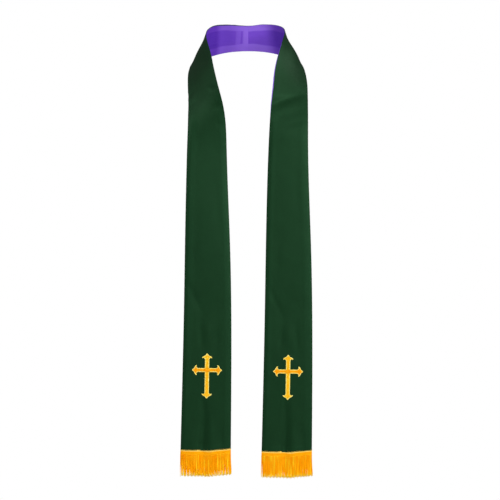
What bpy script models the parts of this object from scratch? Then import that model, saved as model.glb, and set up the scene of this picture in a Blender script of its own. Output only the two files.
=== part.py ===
# A lined stole, worn open: it stands round the back of the neck and hangs down the front.
#
# The stole is two equal halves, joined by a seam behind the neck. Each half is a ruled strip:
# a middle line through named sections, with a level-to-upright slope across it at each one.
# X runs to the right as seen from the front, Y runs back and Z runs up. The origin is the
# middle of the seam behind the neck, between the outer cloth and the lining.
import math
from collections import namedtuple

import bmesh
import bpy
import numpy as np

MM = 0.001
COLLECTION = "clerical_stole"

# Walls and clearances
SHELL_WALL = 1.0 * MM
LINING_WALL = 1.0 * MM
SEAM_GAP = 0.3 * MM
HEM_GAP = 0.3 * MM

# Grid of each cloth panel
CELLS_ACROSS = 8
CELLS_LONG = 48
FIRST_CELL = 2.0 * MM
MIRRORED_SECTIONS = 7

# The hem dips in its middle and tilts a little on each half
HEM_SAG = 3.8 * MM
HEM_BLEND = 120.0 * MM

# Fringe: a heading with two staggered rows of strands below it
HEADING_HEIGHT = 10.0 * MM
HEADING_DEPTH = 2.8 * MM
STRAND_COLUMNS = 84
STRAND_LENGTH = 55.5 * MM
STRAND_RAGGED = 1.8 * MM
STRAND_SPLAY = 2.2 * MM
STRAND_DRIFT = 0.4 * MM

# Rings down a strand: share of its length, its size beside the ring above, and of its drift
StrandStep = namedtuple("StrandStep", "reach size sway")

STRAND_STEPS = [
    StrandStep(0.45, 0.80, 0.35),
    StrandStep(1.00, 0.75, 1.00),
]

# Embroidered cross, measured from the middle of its crossing
CROSS_ABOVE_HEM = 202.3 * MM
CROSS_UP = 42.4 * MM
CROSS_DOWN = 72.2 * MM
CROSS_SIDE = 38.2 * MM
UPRIGHT_HALF = 6.4 * MM
CROSSBAR_HALF = 5.2 * MM
CROSS_CLEARANCE = 0.35 * MM
CROSS_EDGE = 0.7 * MM
CROSS_DOME = 0.6 * MM
CROSS_BEVEL = 1.0 * MM

# Finished width of both halves at each section, in millimetres
WIDTHS = {
    "nape": 74.0,
    "nape side": 83.0,
    "neck corner": 86.0,
    "shoulder ridge": 89.0,
    "shoulder front": 92.0,
    "collarbone": 94.0,
    "upper chest": 97.0,
    "chest": 100.5,
    "waist": 115.5,
    "above cross": 122.0,
    "cross": 125.0,
    "hem": 128.0,
}

# Middle line of each half: millimetres outward, back and up from the origin.
# Bearing turns the strip's width in plan, and fall tips it from level (0) to upright (90).
Section = namedtuple("Section", "name out back up bearing fall")

LEFT_SECTIONS = [
    Section("nape", 0.0, 0.0, 0.0, 90.0, 55.0),
    Section("nape side", 59.0, -10.0, -2.0, 66.0, 58.0),
    Section("neck corner", 105.0, -43.0, -17.5, 40.0, 67.5),
    Section("shoulder ridge", 124.0, -84.0, -42.0, 28.0, 62.0),
    Section("shoulder front", 123.0, -124.0, -96.0, 30.0, 46.0),
    Section("collarbone", 114.5, -149.0, -157.0, 29.0, 20.0),
    Section("upper chest", 106.5, -161.0, -215.0, 14.0, 7.0),
    Section("chest", 104.7, -165.0, -290.0, 2.0, 1.0),
    Section("waist", 103.0, -165.0, -560.0, 0.0, 0.0),
    Section("above cross", 103.2, -165.0, -760.0, 0.0, 0.0),
    Section("cross", 105.0, -165.0, -900.0, 0.0, 0.0),
    Section("hem", 107.8, -165.0, -1065.6, 0.0, 0.0),
]
RIGHT_SECTIONS = [
    Section("nape", 0.0, 0.0, 0.0, 90.0, 55.0),
    Section("nape side", 58.0, -10.0, -2.0, 66.0, 58.0),
    Section("neck corner", 98.0, -44.0, -18.0, 44.0, 67.0),
    Section("shoulder ridge", 110.5, -83.0, -44.0, 26.0, 58.5),
    Section("shoulder front", 110.0, -124.0, -100.0, 14.0, 37.0),
    Section("collarbone", 106.5, -149.0, -157.0, 8.0, 12.0),
    Section("upper chest", 104.3, -161.0, -215.0, 3.0, 4.0),
    Section("chest", 102.3, -165.0, -290.0, 0.5, 1.0),
    Section("waist", 102.5, -165.0, -560.0, 0.0, 0.0),
    Section("above cross", 102.4, -165.0, -760.0, 0.0, 0.0),
    Section("cross", 100.8, -165.0, -900.0, 0.0, 0.0),
    Section("hem", 98.1, -165.0, -1069.3, 0.0, 0.0),
]

# Soft folds, in millimetres: along from the nape, aside from the middle line towards the
# outer edge, half sizes of each, turn in degrees, and height (a trough is negative).
Fold = namedtuple("Fold", "name along aside half_long half_wide turn height")

LEFT_FOLDS = [
    Fold("neck roll", 95.0, -20.0, 42.0, 26.0, 0.0, 1.6),
    Fold("shoulder swell", 170.0, 8.0, 30.0, 30.0, 0.0, 5.0),
    Fold("shoulder break", 205.0, 8.0, 20.0, 60.0, 8.0, -1.8),
    Fold("front swell", 262.0, 0.0, 30.0, 60.0, -6.0, 2.6),
    Fold("front hollow", 312.0, 6.0, 22.0, 60.0, -10.0, -2.2),
    Fold("chest swell", 372.0, -14.0, 40.0, 34.0, -4.0, 1.5),
    Fold("hip ripple", 790.0, 20.0, 90.0, 22.0, 3.0, -1.2),
    Fold("hem trough", 1212.0, 7.0, 68.0, 10.0, 1.0, -3.4),
    Fold("hem swell", 1218.0, -17.0, 60.0, 13.0, -2.0, 2.6),
    Fold("hem side swell", 1220.0, 38.0, 52.0, 14.0, 2.0, 1.6),
]
RIGHT_FOLDS = [
    Fold("neck roll", 88.0, -18.0, 40.0, 26.0, 0.0, 1.6),
    Fold("shoulder swell", 152.0, 4.0, 34.0, 30.0, 0.0, 8.0),
    Fold("shoulder break", 212.0, -6.0, 18.0, 56.0, -10.0, -2.0),
    Fold("front swell", 276.0, 4.0, 34.0, 60.0, 10.0, 3.0),
    Fold("front crease", 330.0, 0.0, 15.0, 58.0, 14.0, -3.0),
    Fold("chest swell", 378.0, -20.0, 36.0, 30.0, 6.0, 1.8),
    Fold("hip ripple", 840.0, -18.0, 80.0, 20.0, -3.0, -1.1),
    Fold("hem trough", 1208.0, -4.0, 66.0, 10.0, -1.0, -3.4),
    Fold("hem swell", 1214.0, 18.0, 58.0, 13.0, 2.0, 2.6),
    Fold("hem side swell", 1216.0, -40.0, 50.0, 14.0, -2.0, 1.4),
]

# Half outline of an arm's end, in millimetres: inward from the tip, and aside
Finial = namedtuple("Finial", "name inward aside")

FINIAL = [
    Finial("tip side", 1.3, 1.9),
    Finial("neck", 5.2, 4.3),
    Finial("shoulder", 6.6, 8.2),
    Finial("barb crown", 9.2, 11.9),
    Finial("barb end", 13.4, 13.1),
    Finial("barb hollow", 11.8, 9.4),
]
FINIAL_ROOT = 14.2 * MM

Half = namedtuple("Half", "name side sections folds hem_tilt seed")

HALVES = [
    Half("left", -1.0, LEFT_SECTIONS, LEFT_FOLDS, 5.0 * MM, 3.1),
    Half("right", 1.0, RIGHT_SECTIONS, RIGHT_FOLDS, -5.0 * MM, 8.7),
]

# Curve through the sections


def spline_slopes(knots, values):
    """Second derivatives of the natural cubic spline through the values."""
    count = len(knots)
    steps = np.diff(knots)
    matrix = np.zeros((count, count))
    target = np.zeros(values.shape)
    matrix[0, 0] = 1.0
    matrix[-1, -1] = 1.0
    for row in range(1, count - 1):
        before = steps[row - 1]
        after = steps[row]
        matrix[row, row - 1] = before
        matrix[row, row] = 2.0 * (before + after)
        matrix[row, row + 1] = after
        rise_after = (values[row + 1] - values[row]) / after
        rise_before = (values[row] - values[row - 1]) / before
        target[row] = 6.0 * (rise_after - rise_before)
    return np.linalg.solve(matrix, target)


def strip_curve(half):
    """Knots, values and spline of one half: middle line, width, bearing and fall."""
    rows = half.sections
    middle = np.array([[half.side * row.out, row.back, row.up] for row in rows]) * MM
    widths = np.array([WIDTHS[row.name] for row in rows]) * MM
    turns = np.radians([[row.bearing, row.fall] for row in rows])
    legs = np.linalg.norm(np.diff(middle, axis=0), axis=1)
    knots = np.concatenate([[0.0], np.cumsum(legs)])
    values = np.column_stack([middle, widths, turns])

    # The first sections carry on past the seam, so the strip leaves it level
    beyond = values[1:MIRRORED_SECTIONS][::-1].copy()
    beyond[:, 0] *= -1.0
    beyond[:, 4] = math.pi - beyond[:, 4]
    knots = np.concatenate([-knots[1:MIRRORED_SECTIONS][::-1], knots])
    values = np.vstack([beyond, values])
    return knots, values, spline_slopes(knots, values)


def spline_at(curve, along):
    """Values of the spline at each place in a flat array."""
    knots, values, slopes = curve
    cell = np.clip(np.searchsorted(knots, along, side="right") - 1, 0, len(knots) - 2)
    step = (knots[cell + 1] - knots[cell])[:, None]
    after = (along - knots[cell])[:, None]
    before = step - after
    bend = (slopes[cell] * before**3 + slopes[cell + 1] * after**3) / (6.0 * step)
    start = (values[cell] / step - slopes[cell] * step / 6.0) * before
    end = (values[cell + 1] / step - slopes[cell + 1] * step / 6.0) * after
    return bend + start + end


def unit(vectors):
    """Vectors scaled to length one."""
    return vectors / np.linalg.norm(vectors, axis=-1, keepdims=True)


# Surface of one half


class Strip:
    """Ruled strip of one half; places are metres along from the nape and aside from its middle."""

    def __init__(self, half):
        self.half = half
        self.curve = strip_curve(half)
        self.length = self.curve[0][-1]

    def width(self, along):
        """Finished width at each place."""
        return spline_at(self.curve, np.minimum(along, self.length))[:, 3]

    def frame(self, along):
        """Middle point, direction along and direction across at each place."""
        probe = 0.5 * MM
        inside = np.minimum(along, self.length)
        here = spline_at(self.curve, inside)
        ahead = spline_at(self.curve, np.minimum(inside + probe, self.length))
        behind = spline_at(self.curve, inside - probe)
        forward = unit(ahead[:, :3] - behind[:, :3])
        bearing = here[:, 4]
        fall = here[:, 5]
        across = np.stack(
            [
                self.half.side * np.cos(fall) * np.cos(bearing),
                np.cos(fall) * np.sin(bearing),
                -np.sin(fall),
            ],
            axis=1,
        )
        square = (across * forward).sum(axis=1, keepdims=True)
        across = unit(across - square * forward)
        past_end = (along - inside)[:, None]
        return here[:, :3] + forward * past_end, forward, across

    def bare(self, along, aside):
        """Points of the strip before its folds."""
        middle, _, across = self.frame(along)
        return middle + across * aside[:, None]

    def relief(self, along, aside):
        """Height of the folds at each place."""
        total = np.zeros(along.shape)
        for fold in self.half.folds:
            turn = math.radians(fold.turn)
            ahead = along - fold.along * MM
            outward = aside - fold.aside * MM
            long_part = (ahead * math.cos(turn) + outward * math.sin(turn)) / (fold.half_long * MM)
            wide_part = (outward * math.cos(turn) - ahead * math.sin(turn)) / (fold.half_wide * MM)
            total += fold.height * MM * np.exp(-(long_part**2) - wide_part**2)
        return total

    def normal(self, along, aside, points):
        """Direction out of the shell side of a surface given by its points."""
        probe = 0.4 * MM
        down = points(along + probe, aside) - points(along - probe, aside)
        out = points(along, aside + probe) - points(along, aside - probe)
        return unit(np.cross(down, out)) * self.half.side

    def draped(self, along, aside):
        """Points of the strip with its folds."""
        lift = self.relief(along, aside)[:, None]
        return self.bare(along, aside) + self.normal(along, aside, self.bare) * lift

    def lifted(self, along, aside, height):
        """Points at a height off the folded strip, towards the shell side."""
        direction = self.normal(along, aside, self.draped)
        return self.draped(along, aside) + direction * height[:, None]

    def hem_shift(self, fraction):
        """How far the hem lies past the last section; the fraction runs -0.5 to 0.5."""
        return HEM_SAG * (1.0 - 4.0 * fraction**2) + self.half.hem_tilt * fraction

    def place(self, along, fraction):
        """Place along with the hem's own line worked in near the end."""
        weight = np.clip((along - self.length + HEM_BLEND) / HEM_BLEND, 0.0, 1.0)
        return along + self.hem_shift(fraction) * weight * weight


# Meshes


def finish_object(name, mesh, material, parent):
    """Object made from a mesh, with its material, in the stole's collection."""
    item = bpy.data.objects.new(name, mesh)
    item.data.materials.append(material)
    item.parent = parent
    bpy.data.collections[COLLECTION].objects.link(item)
    return item


def mesh_from(bm, name):
    """Mesh data of a bmesh, shaded smooth with crisp rims."""
    bmesh.ops.recalc_face_normals(bm, faces=bm.faces)
    mesh = bpy.data.meshes.new(name)
    bm.to_mesh(mesh)
    bm.free()
    mesh.shade_smooth()
    mesh.set_sharp_from_angle(angle=math.radians(40.0))
    return mesh


def move_vertices(bm, points):
    """Each vertex of a bmesh set to its point."""
    for vertex, point in zip(bm.verts, points):
        vertex.co = point


def panel_places(length):
    """Places along a panel: close together over the shoulder, wide apart down the front."""
    steps = np.linspace(0.0, 1.0, CELLS_LONG)
    spread = 0.42 * steps + 0.58 * steps**1.9
    places = FIRST_CELL + (length - FIRST_CELL) * spread
    return np.concatenate([[0.5 * SEAM_GAP], places])


def cloth_panel(name, strip, lift, outward, wall, material, parent):
    """Open sheet parallel to the strip, made a wall with Solidify on one side."""
    bm = bmesh.new()
    bmesh.ops.create_grid(bm, x_segments=CELLS_LONG, y_segments=CELLS_ACROSS, size=0.5)
    rows = panel_places(strip.length)
    grid = np.array([vertex.co for vertex in bm.verts])
    row = np.rint((grid[:, 0] + 0.5) * CELLS_LONG).astype(int)
    fraction = grid[:, 1]
    along = strip.place(rows[row], fraction)
    aside = fraction * strip.width(rows[row])
    height = np.full(along.shape, lift)
    move_vertices(bm, strip.lifted(along, aside, height))
    # The grid faces up in its own plane, which is the shell side on the right half
    if outward != (strip.half.side > 0.0):
        bmesh.ops.reverse_faces(bm, faces=bm.faces)
    mesh = bpy.data.meshes.new(name)
    bm.to_mesh(mesh)
    bm.free()
    mesh.shade_smooth()
    item = finish_object(name, mesh, material, parent)
    solidify = item.modifiers.new("wall", "SOLIDIFY")
    solidify.thickness = wall
    solidify.offset = 1.0
    return item


def strand_wave(number, seed):
    """Steady pseudo-random value from -1 to 1 for a strand."""
    return math.sin(12.9898 * number + 78.233 * seed) * math.cos(4.1414 * number + seed)


def fringe(name, strip, material, parent):
    """Heading below the hem, with every other cell of two rows drawn down into a strand."""
    hem_width = WIDTHS["hem"] * MM
    bm = bmesh.new()
    bmesh.ops.create_grid(bm, x_segments=STRAND_COLUMNS, y_segments=2, size=0.5)
    bmesh.ops.solidify(bm, geom=bm.faces[:], thickness=HEADING_HEIGHT)
    bmesh.ops.recalc_face_normals(bm, faces=bm.faces)
    low = min(vertex.co.z for vertex in bm.verts)
    for vertex in bm.verts:
        vertex.co.z -= low

    # Cells of the underside, taken in turn from the two rows
    roots = []
    for face in bm.faces:
        middle = face.calc_center_median()
        column = int((middle.x + 0.5) * STRAND_COLUMNS)
        back_row = middle.y > 0.0
        if face.normal.z < -0.5 and middle.z < 0.5 * MM and (column % 2 == 1) == back_row:
            roots.append((column, face))
    roots.sort(key=lambda root: root[0])

    for column, face in roots:
        share = (column + 0.5) / STRAND_COLUMNS - 0.5
        length = STRAND_LENGTH + STRAND_RAGGED * strand_wave(column, strip.half.seed)
        drift = STRAND_SPLAY * 2.0 * share
        drift += STRAND_DRIFT * strand_wave(column + 31, strip.half.seed)
        for step in STRAND_STEPS:
            face = bmesh.ops.extrude_discrete_faces(bm, faces=[face])["faces"][0]
            middle = face.calc_center_median()
            centre_x = share + drift * step.sway / hem_width
            for vertex in face.verts:
                vertex.co.x = centre_x + (vertex.co.x - middle.x) * step.size
                vertex.co.y = middle.y + (vertex.co.y - middle.y) * step.size
                vertex.co.z = -length * step.reach

    # The flat fringe is laid on the strip's own surface, carried on past the hem
    flat = np.array([vertex.co for vertex in bm.verts])
    fraction = flat[:, 0] * strip.half.side
    down = HEM_GAP + HEADING_HEIGHT - flat[:, 2]
    along = strip.length + down + strip.hem_shift(np.clip(fraction, -0.5, 0.5))
    move_vertices(bm, strip.lifted(along, fraction * hem_width, -flat[:, 1] * HEADING_DEPTH))
    return finish_object(name, mesh_from(bm, name), material, parent)


def cross_outline():
    """Outline of the cross as (right, up) pairs, anticlockwise from the top arm."""
    arms = [
        ((0.0, 1.0), CROSS_UP, UPRIGHT_HALF),
        ((-1.0, 0.0), CROSS_SIDE, CROSSBAR_HALF),
        ((0.0, -1.0), CROSS_DOWN, UPRIGHT_HALF),
        ((1.0, 0.0), CROSS_SIDE, CROSSBAR_HALF),
    ]
    outline = []
    for (way_x, way_y), reach, bar_half in arms:
        half = [(row.inward * MM, row.aside * MM) for row in FINIAL]
        half.append((FINIAL_ROOT, bar_half))
        arm = [(inward, aside) for inward, aside in reversed(half)]
        arm.append((0.0, 0.0))
        arm += [(inward, -aside) for inward, aside in half]
        for inward, aside in arm:
            out = reach - inward
            outline.append((way_x * out + way_y * aside, way_y * out - way_x * aside))
        turned_x, turned_y = -way_y, way_x
        corner_x = (way_x + turned_x) * UPRIGHT_HALF
        corner_y = (way_y + turned_y) * CROSSBAR_HALF
        outline.append((corner_x, corner_y))
    return outline


def cross(name, strip, material, parent):
    """Raised cross lying on the shell, with a bevelled edge."""
    bm = bmesh.new()
    corners = [bm.verts.new((right, up, 0.0)) for right, up in cross_outline()]
    bottom = bm.faces.new(corners)
    sides = bmesh.ops.extrude_face_region(bm, geom=[bottom], use_keep_orig=True)
    raised = [item for item in sides["geom"] if isinstance(item, bmesh.types.BMVert)]
    top = [item for item in sides["geom"] if isinstance(item, bmesh.types.BMFace)]
    for vertex in raised:
        vertex.co.z = CROSS_EDGE
    bmesh.ops.inset_region(bm, faces=top, thickness=CROSS_BEVEL, use_even_offset=True)
    for vertex in top[0].verts:
        vertex.co.z = CROSS_EDGE + CROSS_DOME
    flat = np.array([vertex.co for vertex in bm.verts])
    along = strip.length - CROSS_ABOVE_HEM - flat[:, 1]
    aside = flat[:, 0] * strip.half.side
    base = 0.5 * SEAM_GAP + SHELL_WALL + CROSS_CLEARANCE
    move_vertices(bm, strip.lifted(along, aside, base + flat[:, 2]))
    return finish_object(name, mesh_from(bm, name), material, parent)


# Materials


def cloth_material(name, colour, roughness, sheen):
    """Plain cloth of one colour."""
    material = bpy.data.materials.new(name)
    material.use_nodes = True
    shader = material.node_tree.nodes["Principled BSDF"]
    shader.inputs["Base Color"].default_value = (*colour, 1.0)
    shader.inputs["Roughness"].default_value = roughness
    shader.inputs["Metallic"].default_value = 0.0
    shader.inputs["Sheen Weight"].default_value = sheen
    material.diffuse_color = (*colour, 1.0)
    return material


def clear_scene():
    """Scene emptied of its objects."""
    for item in list(bpy.data.objects):
        bpy.data.objects.remove(item, do_unlink=True)


def build_stole():
    """All pieces of the stole."""
    clear_scene()
    collection = bpy.data.collections.new(COLLECTION)
    bpy.context.scene.collection.children.link(collection)
    nape = bpy.data.objects.new("nape_origin", None)
    nape.empty_display_size = 0.05
    collection.objects.link(nape)

    green = cloth_material("green_satin", (0.013, 0.051, 0.020), 0.55, 0.2)
    purple = cloth_material("purple_satin", (0.184, 0.076, 0.584), 0.50, 0.2)
    gold = cloth_material("gold_thread", (0.913, 0.337, 0.010), 0.45, 0.1)
    fringe_gold = cloth_material("gold_fringe", (0.973, 0.342, 0.004), 0.50, 0.1)

    lift = 0.5 * SEAM_GAP
    for half in HALVES:
        strip = Strip(half)
        cloth_panel(f"shell_{half.name}", strip, lift, True, SHELL_WALL, green, nape)
        cloth_panel(f"lining_{half.name}", strip, -lift, False, LINING_WALL, purple, nape)
        fringe(f"fringe_{half.name}", strip, fringe_gold, nape)
        cross(f"cross_{half.name}", strip, gold, nape)


build_stole()
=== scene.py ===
import math
from collections import namedtuple

import bpy
import numpy as np
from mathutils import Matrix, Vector


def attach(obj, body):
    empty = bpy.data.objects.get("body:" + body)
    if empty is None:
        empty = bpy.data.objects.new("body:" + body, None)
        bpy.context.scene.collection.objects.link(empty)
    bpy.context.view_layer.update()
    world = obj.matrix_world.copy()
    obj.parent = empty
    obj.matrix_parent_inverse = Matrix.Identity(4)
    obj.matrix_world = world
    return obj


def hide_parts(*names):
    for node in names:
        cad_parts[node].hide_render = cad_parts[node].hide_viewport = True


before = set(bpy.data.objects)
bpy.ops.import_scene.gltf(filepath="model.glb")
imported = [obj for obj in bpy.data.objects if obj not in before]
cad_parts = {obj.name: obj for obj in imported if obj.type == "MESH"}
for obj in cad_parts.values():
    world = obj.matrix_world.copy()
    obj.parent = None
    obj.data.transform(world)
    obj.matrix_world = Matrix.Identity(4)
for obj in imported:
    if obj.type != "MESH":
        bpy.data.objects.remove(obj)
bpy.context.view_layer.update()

MM = 0.001

# Sizes of the stole

LAYER_SIDES = {"shell": 1.0, "lining": -1.0}
HEM_SAG = 2.2 * MM
HEM_DIP = 1.8 * MM
HEM_DIP_PLACE = 0.065
HEM_DIP_REACH = 0.10
HEM_BLEND = 120.0 * MM
HEM_GAP = 0.3 * MM
MIRRORED_SECTIONS = 7

# Waves that are summed: radians a metre along and aside, share of the seed, and height
Wave = namedtuple("Wave", "along aside turn height")

RIPPLE_HEIGHT = 0.09 * MM
RIPPLE_START = 40.0 * MM
RIPPLES = [Wave(61, 22, 1, 1), Wave(97, -71, 2.3, 0.7), Wave(33, 140, 4.1, 0.5)]
PUCKERS = [Wave(520, 0, 1, 1), Wave(287, 0, 2, 0.8), Wave(903, 0, 3, 0.6)]
ALLOWANCE_WANDER = [Wave(118, 0, 0, 0.6 * MM), Wave(57, 0, 1, 0.4 * MM)]

# Padding of each cloth layer off the middle surface
PLAIN_LIFT = 0.62 * MM
ALLOWANCE_LIFT = 0.22 * MM
INNER_ALLOWANCE = 15.0 * MM
OUTER_ALLOWANCE = 20.0 * MM
HEM_ALLOWANCE = 12.0 * MM
ALLOWANCE_FADE = 3.2 * MM
RIM_RADIUS = 1.2 * MM
NAPE_GROOVE = 0.35
HEM_PINCH = 0.62
ROLL_FADE = 3.5 * MM
EDGE_TUCK = 0.22 * MM
EDGE_TUCK_REACH = 0.3 * MM

# Small uneven waves of the pressed edges: share of the height, sway, reach, and how far the
# outer edge's waves are shifted against the inner edge's, in metres
PUCKER_SHARE = 0.05
PUCKER_SWAY = 0.05 * MM
PUCKER_REACH = 7.0 * MM
OUTER_PUCKER_SHIFT = 0.4

# Allowances of the nape seam under each layer: where they lie, and their share of the lift.
# The shell's are pressed open, and both of the lining's lie to the left.
Step = namedtuple("Step", "start end share")

NAPE_STEPS = {
    "shell left": [Step(-9, 14, 1)],
    "shell right": [Step(-9, 14, 1)],
    "lining left": [Step(-9, 12, 1), Step(18.5, 31, 0.5)],
    "lining right": [],
}

# Crown of each half: it rises from its edges towards its middle, more gently at the right
CROWN_LIFT = 3.2 * MM
RIGHT_CROWN_REACH = 21.0 * MM
LEFT_CROWN_REACH = 11.0 * MM
CROWN_START = 320.0 * MM
CROWN_RUN = 100.0 * MM

# Grid of a cloth layer: distances in from each edge, in millimetres, then even cells
EDGE_COLUMNS = [0.0, 0.18, 0.4, 0.75, 1.2, 1.9, 3.0, 4.6, 6.6, 9.0, 11.5, 13.4, 15.0, 16.6, 19.0]
MIDDLE_COLUMNS = 20
END_ROWS = [-0.12, 0.15, 0.45, 0.9, 1.4, 2.2]
ROW_STEP = 2.7 * MM

WIDTHS = {
    "nape": 74,
    "nape side": 83,
    "neck corner": 86,
    "shoulder ridge": 89,
    "shoulder front": 92,
    "collarbone": 94,
    "upper chest": 97,
    "chest": 100.5,
    "waist": 115.5,
    "above cross": 122,
    "cross": 125,
    "hem": 128,
}

HEM_WIDTH = WIDTHS["hem"] * MM

Section = namedtuple("Section", "name out back up bearing fall")

LEFT_SECTIONS = [
    Section("nape", 0, 0, 0, 90, 55),
    Section("nape side", 59, -10, -2, 66, 58),
    Section("neck corner", 105, -43, -17.5, 40, 67.5),
    Section("shoulder ridge", 124, -84, -42, 28, 62),
    Section("shoulder front", 123, -124, -96, 30, 46),
    Section("collarbone", 114.5, -149, -157, 29, 20),
    Section("upper chest", 106.5, -161, -215, 14, 7),
    Section("chest", 104.7, -165, -290, 2, 1),
    Section("waist", 103, -165, -560, 0, 0),
    Section("above cross", 103.2, -165, -760, 0, 0),
    Section("cross", 105, -165, -900, 0, 0),
    Section("hem", 107.8, -165, -1065.6, 0, 0),
]
RIGHT_SECTIONS = [
    Section("nape", 0, 0, 0, 90, 55),
    Section("nape side", 58, -10, -2, 66, 58),
    Section("neck corner", 98, -44, -18, 44, 67),
    Section("shoulder ridge", 110.5, -83, -44, 26, 58.5),
    Section("shoulder front", 110, -124, -100, 14, 37),
    Section("collarbone", 106.5, -149, -157, 8, 12),
    Section("upper chest", 104.3, -161, -215, 3, 4),
    Section("chest", 102.3, -165, -290, 0.5, 1),
    Section("waist", 102.5, -165, -560, 0, 0),
    Section("above cross", 102.4, -165, -760, 0, 0),
    Section("cross", 100.8, -165, -900, 0, 0),
    Section("hem", 98.1, -165, -1069.3, 0, 0),
]

# Folds and creases: along from the nape, aside from the middle line towards the outer edge,
# half sizes of each, turn in degrees, and height (a trough is negative).
Fold = namedtuple("Fold", "name along aside half_long half_wide turn height")

LEFT_FOLDS = [
    Fold("neck roll", 95, -20, 42, 26, 0, 1.6),
    Fold("shoulder swell", 170, 8, 30, 30, 0, 5),
    Fold("shoulder break", 210, 8, 18, 50, 8, -1.6),
    Fold("front swell", 256, -8, 28, 42, -8, 1.8),
    Fold("front hollow", 324, 18, 20, 32, -12, -1.1),
    Fold("chest swell", 384, -6, 34, 44, -6, 0.6),
    Fold("hip hollow", 845, 10, 70, 34, 14, -1.8),
    Fold("hem trough", 1185, 7, 80, 8.5, 1, -4.2),
    Fold("hem swell", 1205, -16, 60, 13, -2, 2.4),
    Fold("hem side swell", 1205, 34, 60, 15, 2, 1.8),
]
RIGHT_FOLDS = [
    Fold("neck roll", 88, -18, 40, 26, 0, 1.6),
    Fold("shoulder swell", 156, 5, 34, 30, 0, 8),
    Fold("shoulder break", 214, -6, 17, 50, -10, -0.8),
    Fold("front swell", 266, 6, 30, 50, 12, 1.2),
    Fold("front crease", 314, -8, 10, 44, 21, -2),
    Fold("chest swell", 392, -16, 30, 36, 12, 2.4),
    Fold("hip hollow", 850, -8, 74, 34, -14, -1.8),
    Fold("hem trough", 1182, -4, 78, 8.5, -1, -4.2),
    Fold("hem swell", 1204, 18, 58, 13, 2, 2.4),
    Fold("hem side swell", 1203, -36, 58, 15, -2, 1.8),
]

LEFT_CREASES = [
    Fold("nape lift", 0, -34, 55, 20, 0, 2.5),
    Fold("corner lift", 92, -38, 16, 18, 0, 3),
    Fold("nape dimple", 34, 14, 10, 22, 14, -0.5),
    Fold("band pull", 132, 10, 9, 30, -18, -0.8),
    Fold("ridge nick", 226, -26, 7, 20, 16, -0.7),
    Fold("outer nick", 296, 39, 7, 12, -14, -1.4),
    Fold("inner nick", 303, -28, 8, 12, 20, -1.1),
    Fold("inner dent", 349, -31, 9, 11, 16, -1),
    Fold("lower inner dent", 390, -34, 8, 10, 10, -0.8),
    Fold("front line", 322, 26, 7, 20, -16, -0.4),
    Fold("chest dent", 400, 26, 24, 12, 8, -0.7),
    Fold("long dome", 640, 0, 360, 40, 0, 1.5),
    Fold("long dent", 585, -24, 60, 9, -3, -0.4),
    Fold("side dent", 700, 30, 70, 9, 3, -0.4),
    Fold("hip line", 826, 34, 46, 8, -24, -0.9),
    Fold("cross outside", 922, 16, 34, 6.5, -4, -1.3),
    Fold("cross inside", 926, -24, 34, 6, 4, -1.1),
    Fold("above cross", 915, -3, 30, 8, 0, 0.8),
    Fold("below cross", 1102, 8, 24, 5, -4, -1.2),
    Fold("hem line", 1150, 1, 22, 6, 20, -1),
    Fold("hem pleat", 1206, 11, 16, 5, 10, -1.4),
    Fold("hem side line", 1196, -40, 34, 6, -3, -1),
]
RIGHT_CREASES = [
    Fold("nape lift", 0, -34, 55, 20, 0, 2.5),
    Fold("band lift", 36, -34, 15, 20, 0, 2.8),
    Fold("ridge rise", 172, 20, 18, 22, 0, 3),
    Fold("nape dimple", 46, 10, 11, 24, -12, -0.5),
    Fold("band pull", 126, 8, 9, 28, 16, -0.8),
    Fold("neck side dip", 240, -52, 22, 26, 0, -2.2),
    Fold("inner rise", 297, -50, 26, 36, 10, 4.6),
    Fold("inner chest rise", 362, -50, 20, 30, 10, 2),
    Fold("crease lip", 336, -8, 14, 50, 21, 1.6),
    Fold("crease line", 313, -12, 5.5, 34, 22, -0.4),
    Fold("front line", 374, 18, 9, 24, 18, -0.7),
    Fold("chest dent", 396, 20, 30, 16, -8, -0.4),
    Fold("long dome", 640, 0, 360, 40, 0, 1.5),
    Fold("long dent", 560, 22, 64, 9, 3, -0.4),
    Fold("side dent", 715, -28, 66, 9, -3, -0.4),
    Fold("hip line", 830, -32, 44, 8, 24, -0.9),
    Fold("cross outside", 924, 22, 34, 6, 4, -1.1),
    Fold("cross inside", 920, -18, 34, 6.5, -4, -1.3),
    Fold("above cross", 914, 2, 30, 8, 0, 0.8),
    Fold("below cross", 1100, -6, 24, 5, 4, -1.2),
    Fold("hem line", 1148, 1, 22, 6, -20, -1),
    Fold("hem pleat", 1203, -9, 16, 5, -10, -1.4),
    Fold("hem side line", 1192, 42, 34, 6, 3, -1),
]

# Where one layer's edge rolls over the other: along from the nape, reach, and how far.
# A positive roll shows the shell from the lining's side, a negative one shows the lining.
Roll = namedtuple("Roll", "edge along reach amount")

LEFT_ROLLS = [
    Roll("inner", 0, 2000, 0.25),
    Roll("inner", 72, 46, 2.2),
    Roll("outer", 0, 2000, 0.30),
]
RIGHT_ROLLS = [
    Roll("inner", 0, 2000, 0.15),
    Roll("inner", 280, 66, -1.9),
    Roll("outer", 0, 2000, 0.30),
]

# Embroidered cross
CROSS_ABOVE_HEM = 202.3 * MM
CROSS_UP = 42.4 * MM
CROSS_DOWN = 72.2 * MM
CROSS_SIDE = 38.2 * MM
UPRIGHT_HALF = 5.4 * MM
CROSSBAR_HALF = 4.9 * MM
FINIAL_ROOT = 14.2 * MM
FINIAL_HALF = 14.0 * MM

Finial = namedtuple("Finial", "name inward aside")

FINIAL = [
    Finial("tip side", 1.3, 1.9),
    Finial("neck", 5.2, 4.3),
    Finial("shoulder", 6.6, 8.2),
    Finial("barb crown", 9.0, 11.9),
    Finial("barb end", 12.9, 13.1),
    Finial("barb hollow", 10.9, 9.0),
]

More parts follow.
